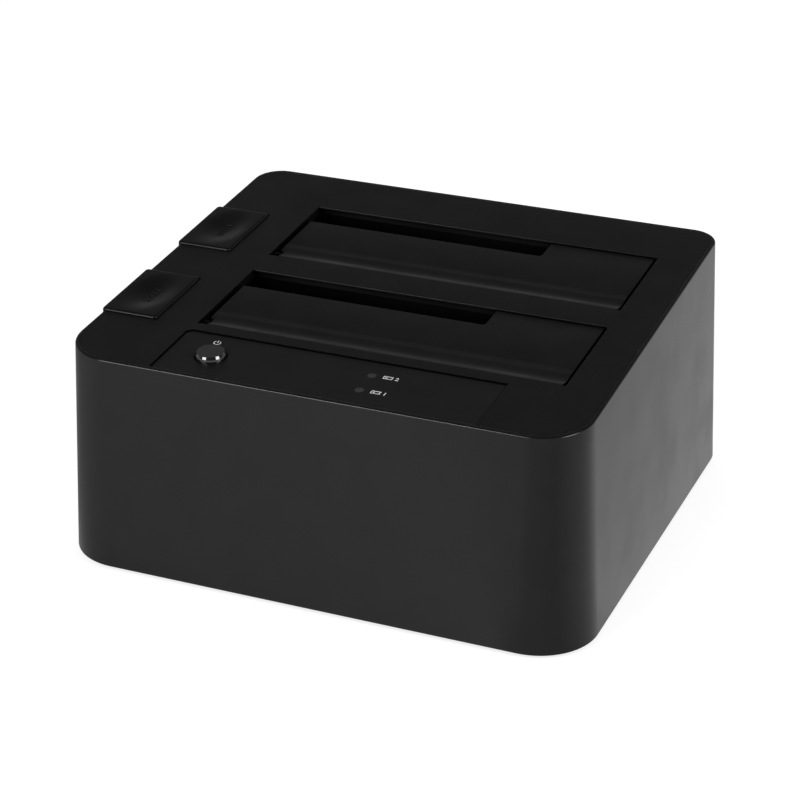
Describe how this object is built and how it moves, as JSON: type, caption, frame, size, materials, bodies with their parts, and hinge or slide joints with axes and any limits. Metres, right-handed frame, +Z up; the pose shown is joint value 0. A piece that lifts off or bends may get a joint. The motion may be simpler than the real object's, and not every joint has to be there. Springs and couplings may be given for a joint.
{
  "type": "hard drive docking station",
  "caption": "Desktop dock with upright bays for bare drives, hinged dust flaps, side eject buttons with lifting levers, a power button and indicator windows.",
  "frame": {"origin": "middle of the footprint, on the surface the feet stand on", "axes": "+X along the front to the right, +Y to the rear, +Z up"},
  "size_m": [0.149, 0.1338, 0.0691],
  "materials": {
    "case": "black semi-gloss moulded wall",
    "cover": "black matte fine-textured moulding",
    "panel": "black smooth satin inlay",
    "flap": "black matte fine-textured moulding",
    "button": "black satin moulding",
    "power_button": "black gloss with a satin grey top",
    "well": "black moulded plastic",
    "tray": "black moulded plastic",
    "rubber": "black moulded rubber",
    "steel": "bright drawn steel",
    "screw_steel": "black zinc-plated steel",
    "board": "green solder mask over glass laminate",
    "socket": "black heat-resistant moulding",
    "contact": "gold-plated spring contact",
    "port_metal": "nickel-plated stamped shell",
    "port_insert": "blue insulating moulding",
    "chip": "black moulded chip package",
    "coil": "dark grey moulded coil",
    "can": "plain aluminium can on a dark base",
    "lamp_window": "smoky clear light pipe",
    "led": "pale moulded lamp",
    "lead": "grey insulated flat lead",
    "header": "natural white moulding"
  },
  "bodies": {
    "dock": {"outer_case": "case", "top_cover": "cover", "base_tray": "tray", "control_panel": "panel", "rubber_feet": "rubber", "base_screws": "screw_steel", "board_screws": "screw_steel", "well_screws": "screw_steel", "small_board_screws": "screw_steel", "main_board": "board", "usb_port": "port_metal", "usb_tongue": "port_insert", "power_jack": "socket", "jack_pin": "steel", "bridge_chip": "chip", "inductors": "coil", "capacitors": "can", "crystal": "port_metal", "switch_board": "board", "power_switch": "socket", "light_pipes": "lamp_window", "status_leds": "led", "lead_sockets": "header", "board_lead": "lead", "bay_well_front": "well", "flap_pin_front": "steel", "flap_spring_front": "steel", "eject_spring_front": "steel", "lever_pin_front": "steel", "sata_connector_front": "socket", "sata_contacts_front": "contact", "bay_well_rear": "well", "flap_pin_rear": "steel", "flap_spring_rear": "steel", "eject_spring_rear": "steel", "lever_pin_rear": "steel", "sata_connector_rear": "socket", "sata_contacts_rear": "contact"},
    "power_press": {"power_button": "power_button", "switch_plunger": "socket"},
    "flap_front": {"bay_flap_front": "flap"},
    "eject_front": {"eject_button_front": "button"},
    "lever_front": {"eject_lever_front": "well"},
    "flap_rear": {"bay_flap_rear": "flap"},
    "eject_rear": {"eject_button_rear": "button"},
    "lever_rear": {"eject_lever_rear": "well"}
  },
  "joints": [
    {"name": "flap_hinge_front", "type": "hinge", "parent": "dock", "child": "flap_front", "pos_m": [0.00745, -0.03425, 0.06098], "axis": [-1, 0, 0], "range_deg": [0, 88], "stiffness_Nm_per_rad": 0.006, "springref_deg": -34.38, "deforming": ["flap_spring_front"]},
    {"name": "eject_press_front", "type": "slide", "parent": "dock", "child": "eject_front", "axis": [0, 0, -1], "range_m": [0, 0.004], "stiffness_N_per_m": 200, "springref_m": -0.004, "deforming": ["eject_spring_front"]},
    {"name": "lever_rock_front", "type": "hinge", "parent": "dock", "child": "lever_front", "pos_m": [-0.0516, -0.0184, 0.0124], "axis": [0, -1, 0], "range_deg": [0, 21]},
    {"name": "flap_hinge_rear", "type": "hinge", "parent": "dock", "child": "flap_rear", "pos_m": [0.00745, 0.0104, 0.06374], "axis": [-1, 0, 0], "range_deg": [0, 88], "stiffness_Nm_per_rad": 0.006, "springref_deg": -34.38, "deforming": ["flap_spring_rear"]},
    {"name": "eject_press_rear", "type": "slide", "parent": "dock", "child": "eject_rear", "axis": [0, 0, -1], "range_m": [0, 0.004], "stiffness_N_per_m": 200, "springref_m": -0.004, "deforming": ["eject_spring_rear"]},
    {"name": "lever_rock_rear", "type": "hinge", "parent": "dock", "child": "lever_rear", "pos_m": [-0.0516, 0.02625, 0.0124], "axis": [0, -1, 0], "range_deg": [0, 21]},
    {"name": "power_press", "type": "slide", "parent": "dock", "child": "power_press", "axis": [0, 0.0616, -0.9981], "range_m": [0, 0.001], "stiffness_N_per_m": 100, "springref_m": -0.003}
  ],
  "couplings": [
    {"joint": "lever_rock_front", "follows": "eject_press_front", "rad_per_m": 91.6},
    {"joint": "lever_rock_rear", "follows": "eject_press_rear", "rad_per_m": 91.6}
  ]
}
